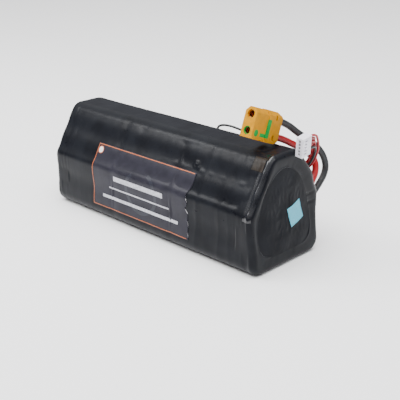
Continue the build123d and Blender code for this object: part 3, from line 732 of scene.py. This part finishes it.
def make_end_film(name, end, materials, cad):
    """Crumpled sheet that shows inside the sleeve's mouth."""
    sign = 1 if end > 0 else -1
    reach = (RADIUS - MOUTH_AT + 1.2 * MM)[:, None]
    outer = rounded_ring(MARKS + NORMALS * reach)
    points = []
    for level in range(END_LEVELS):
        ring = MIDDLE + (outer - MIDDLE) * (1 - level / END_LEVELS)
        points += [(end + sign * end_rise(y, z, sign), y, z) for y, z in ring]
    faces = grid_faces(END_LEVELS, AROUND, True)
    points.append((end + sign * end_rise(*MIDDLE, sign), *MIDDLE))
    last = (END_LEVELS - 1) * AROUND
    faces += [(last + k, last + (k + 1) % AROUND, END_LEVELS * AROUND) for k in range(AROUND)]
    points = [(pulled(x, z), y, z) for x, y, z in points]
    sheet = mesh_piece(name, points, faces, materials["end_film"])
    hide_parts(cad)


# ---- label and stickers, which follow the film ----
def patch(name, x_low, x_high, z_low, z_high, off, mat, columns=60, rows=40, left=None, right=None):
    """A thin sheet on the near side; left and right give the edge's shift at a share of height."""
    k_low, k_high = place_round(z_low), place_round(z_high)
    points = []
    for i in range(rows + 1):
        share = i / rows
        k = k_low + (k_high - k_low) * share
        x0 = x_low + (left(share) if left else 0.0)
        x1 = x_high + (right(share) if right else 0.0)
        for j in range(columns + 1):
            points.append(skin_point(x0 + (x1 - x0) * j / columns, k, off))
    return mesh_piece(name, points, grid_faces(rows + 1, columns + 1, False), mat)


def thicken(obj, amount):
    solid = obj.modifiers.new("thickness", "SOLIDIFY")
    solid.thickness, solid.offset = amount, 1.0


def torn(share):
    """The label's torn right edge: a shallow bite at the crease and another lower down."""
    wander = 0.9 * noise.noise(Vector((share * 9, 1.7, 0)))
    return (wander + humps(share, BITES)) * MM


def torn_paper(share):
    """White paper that shows past the torn edge, most where it is bitten."""
    ragged = 0.8 * abs(noise.noise(Vector((share * 31, 4.2, 0))))
    return torn(share) + (ragged * humps(share, PAPER_SHOWS) * 1.5 - 0.25) * MM


def make_label(materials):
    x0, x1 = LABEL_LOW[0], LABEL_HIGH[0]
    z0, z1 = LABEL_LOW[2], LABEL_HIGH[2]
    backing = patch("label_backing", x1 - 7 * MM, x1, z0 + 2 * MM, z1 - 1 * MM, 0.08 * MM,
                    materials["paper_white"], 14, 110, left=torn, right=torn_paper)
    label = patch("label_sheet", x0, x1, z0, z1, 0.22 * MM, materials["label_film"], 130, 90, right=torn)
    for piece in (backing, label):
        thicken(piece, 0.08 * MM)
    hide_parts("label")
    line, margin, up = 0.6 * MM, 0.5 * MM, 0.46 * MM
    orange = materials["label_orange"]
    right_end = x1 - 1.2 * MM
    lower, upper = z0 + margin, z1 - margin
    patch("label_line_left", x0 + margin, x0 + margin + line, lower, upper, up, orange, 2, 60)
    patch("label_line_low", x0 + margin, right_end, lower, lower + line, up, orange, 120, 2)
    patch("label_line_high", x0 + margin, right_end, upper - line * ROW, upper, up, orange, 120, 2)
    # Plain bars stand where the label carries its printing.
    pale = materials["label_mark"]
    for name, start, end, low, high, columns, rows in LABEL_BARS:
        patch(name, x0 + start * MM, x0 + end * MM, low * MM, high * MM, up, pale, columns, rows)
    make_watermark(materials["label_ring"], up - 0.12 * MM)


def make_watermark(mat, off):
    """A plain open ring in a darker blue, printed on the label behind the bars."""
    points = []
    low, high = place_round(LABEL_LOW[2]), place_round(CREASE_Z)
    per_metre = (high - low) / (CREASE_Z - LABEL_LOW[2])
    for i in range(RING_STEPS + 1):
        angle = math.radians(RING_START + RING_SWEEP * i / RING_STEPS)
        for radius in RING_RADII:
            x = RING_X + radius * MM * math.cos(angle)
            rise = RING_Z - LABEL_LOW[2] + radius * MM * math.sin(angle)
            points.append(skin_point(x, low + rise * per_metre, off))
    mesh_piece("label_ring", points, grid_faces(RING_STEPS + 1, len(RING_RADII), False), mat)


def make_badge(materials):
    low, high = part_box("round_badge")
    middle_x, middle_z = (low[0] + high[0]) / 2, (low[2] + high[2]) / 2
    k = place_round(middle_z)
    per_metre = (place_round(middle_z + 3 * MM) - k) / (3 * MM / ROW)
    rings, spokes = 5, 40
    # Name, inner and outer radius in mm, material, mm off the film.
    discs = (("badge_face", 0.0, 2.5, "badge", 0.44), ("badge_rim", 2.4, 3.2, "label_orange", 0.42))
    for name, inner, outer, mat, off in discs:
        points = []
        for i in range(rings):
            radius = (inner + (outer - inner) * i / (rings - 1)) * MM
            for j in range(spokes):
                angle = 2 * math.pi * j / spokes
                x = middle_x + max(radius, 0.02 * MM) * math.cos(angle)
                points.append(skin_point(x, k + radius * math.sin(angle) * per_metre, off * MM))
        piece = mesh_piece(name, points, grid_faces(rings, spokes, True), materials[mat])
        if name == "badge_face":
            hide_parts("round_badge")


def make_sticker(materials):
    """Square paper sticker on the front end, turned a little."""
    low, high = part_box("check_sticker")
    middle = np.array(((low[1] + high[1]) / 2, (low[2] + high[2]) / 2))
    turn, side, off, count = math.radians(16), 15.2 * MM, 0.2 * MM, 16
    across = np.array((math.cos(turn), math.sin(turn)))
    upward = np.array((-math.sin(turn), math.cos(turn)))
    points = []
    for i in range(count + 1):
        for j in range(count + 1):
            y, z = middle + across * side * (j / count - 0.5) + upward * side * (i / count - 0.5)
            points.append((pulled(FRONT, z) + end_rise(y, z, 1) + off, y, z))
    faces = grid_faces(count + 1, count + 1, False)
    piece = mesh_piece("sticker_blue", points, faces, materials["sticker"])
    thicken(piece, 0.12 * MM)
    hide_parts("check_sticker")


def make_tape(materials):
    low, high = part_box("ridge_tape")
    piece = patch("tape_on_ridge", low[0], high[0], low[2], high[2] - 2.2 * MM, 0.12 * MM,
                  materials["tape"], 24, 30)
    thicken(piece, 0.1 * MM)
    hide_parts("ridge_tape")


# ---- seals ----
def make_bead(name, cad, materials):
    """The CAD bead melted into a lump: remeshed, smoothed and roughened."""
    source = frame["nodes"][cad]
    mesh = source.data.copy()
    obj = bpy.data.objects.new(name, mesh)
    bpy.context.collection.objects.link(obj)
    remesh = obj.modifiers.new("remesh", "REMESH")
    remesh.mode, remesh.voxel_size = "VOXEL", BEAD_VOXEL
    smooth = obj.modifiers.new("smooth", "SMOOTH")
    smooth.factor, smooth.iterations = 0.5, 8
    depsgraph = bpy.context.evaluated_depsgraph_get()
    done = bpy.data.meshes.new_from_object(obj.evaluated_get(depsgraph))
    obj.modifiers.clear()
    obj.data = done
    for vertex in done.vertices:
        push = BEAD_ROUGH * noise.noise(vertex.co * BEAD_GRAIN) * MM
        vertex.co += vertex.normal * push
    done.shade_smooth()
    done.materials.clear()
    done.materials.append(materials["sealant"])
    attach(obj, "pack")
    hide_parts(cad)


# ---- cords ----
def behind_plug(depth, pole):
    return PLUG_FACE + RISE * (pole * POLE_OFFSET) - MATE * depth


def mm(*places):
    return [Vector(p) * MM for p in places]


BLACK_ROUTE = [
    behind_plug(CORD_START, 1), behind_plug(CORD_START + RUN_BEHIND, 1),
    *mm((90.0, 36.2, 85.4), (94.5, 48.2, 77.0), (98.8, 56.4, 66.8), (101.4, 57.6, 54.4)),
    BLACK_EXIT + EXIT_DIR * LEAD_STAND, BLACK_EXIT - EXIT_DIR * LEAD_INSIDE,
]
RED_ROUTE = [
    behind_plug(CORD_START, -1), behind_plug(CORD_START + RUN_BEHIND, -1),
    *mm((89.6, 32.4, 77.6), (92.8, 42.8, 71.6), (97.8, 48.6, 63.2)),
    RED_EXIT + EXIT_DIR * LEAD_STAND, RED_EXIT - EXIT_DIR * LEAD_INSIDE,
]

def in_plug(x, y, z):
    return BALANCE_CENTRE + BALANCE_X * x + BALANCE_Y * y + BALANCE_Z * z


def wire_route(i):
    """Points of wire i: out of its own cavity, then at its place in the bundle."""
    slot = (i - len(CLUSTER) // 2) * BALANCE_PITCH
    points = [in_plug(0, slot, -WIRE_START), in_plug(0, slot, -WIRE_BEND - i * WIRE_BEND_STEP)]
    harness = HARNESS_START + (LOW_LOOP if i else HIGH_LOOP) + HARNESS_END
    centres = [Vector(stop[0]) * MM for stop in harness]
    before = [in_plug(0, 0, -WIRE_BEND)] + centres[:-1]
    after = centres[1:] + [centres[-1]]
    up, side = CLUSTER[i]
    for (_, hint, spread), centre, a, b in zip(harness, centres, before, after):
        along = (b - a).normalized()
        normal = (Vector(hint) - along * Vector(hint).dot(along)).normalized()
        points.append(centre + (normal * up + along.cross(normal) * side) * (spread * MM))
    return points


def make_cord(name, route, diameter, mat, cad):
    """A NURBS tube through the route's points."""
    curve = bpy.data.curves.new(name, "CURVE")
    curve.dimensions = "3D"
    curve.bevel_depth, curve.bevel_resolution = diameter / 2, 6
    curve.resolution_u, curve.use_fill_caps = 16, True
    spline = curve.splines.new("NURBS")
    spline.points.add(len(route) - 1)
    for point, place in zip(spline.points, route):
        point.co = (*place, 1.0)
    spline.order_u = 3
    spline.use_endpoint_u = True
    curve.materials.append(mat)
    obj = bpy.data.objects.new(name, curve)
    bpy.context.collection.objects.link(obj)
    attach(obj, "pack")
    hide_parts(cad)
    return obj


def make_cords(materials):
    black = make_cord("lead_black", BLACK_ROUTE, LEAD_D, materials["lead_black"],
                      "main_lead_black")
    red = make_cord("lead_red", RED_ROUTE, LEAD_D, materials["lead_red"],
                    "main_lead_red")
    for i in range(len(CLUSTER)):
        mat = "lead_black" if i == 0 else "lead_red"
        cad = "balance_wire_black" if i == 0 else f"balance_wire_red_{i}"
        route = wire_route(i)
        wire = make_cord(f"wire_{i + 1}", route, WIRE_D, materials[mat], cad)


make_camera()
make_stage()
MATERIALS = make_materials()
dress_cad(MATERIALS)
make_cords(MATERIALS)
make_bead("lead_seal", "lead_exit_seal", MATERIALS)
make_bead("wire_seal", "balance_exit_seal", MATERIALS)
make_film(MATERIALS)
make_wrap(MATERIALS)
make_end_film("end_sheet_front", FRONT, MATERIALS, "end_film_front")
make_end_film("end_sheet_rear", REAR, MATERIALS, "end_film_rear")
make_label(MATERIALS)
make_badge(MATERIALS)
make_sticker(MATERIALS)
make_tape(MATERIALS)
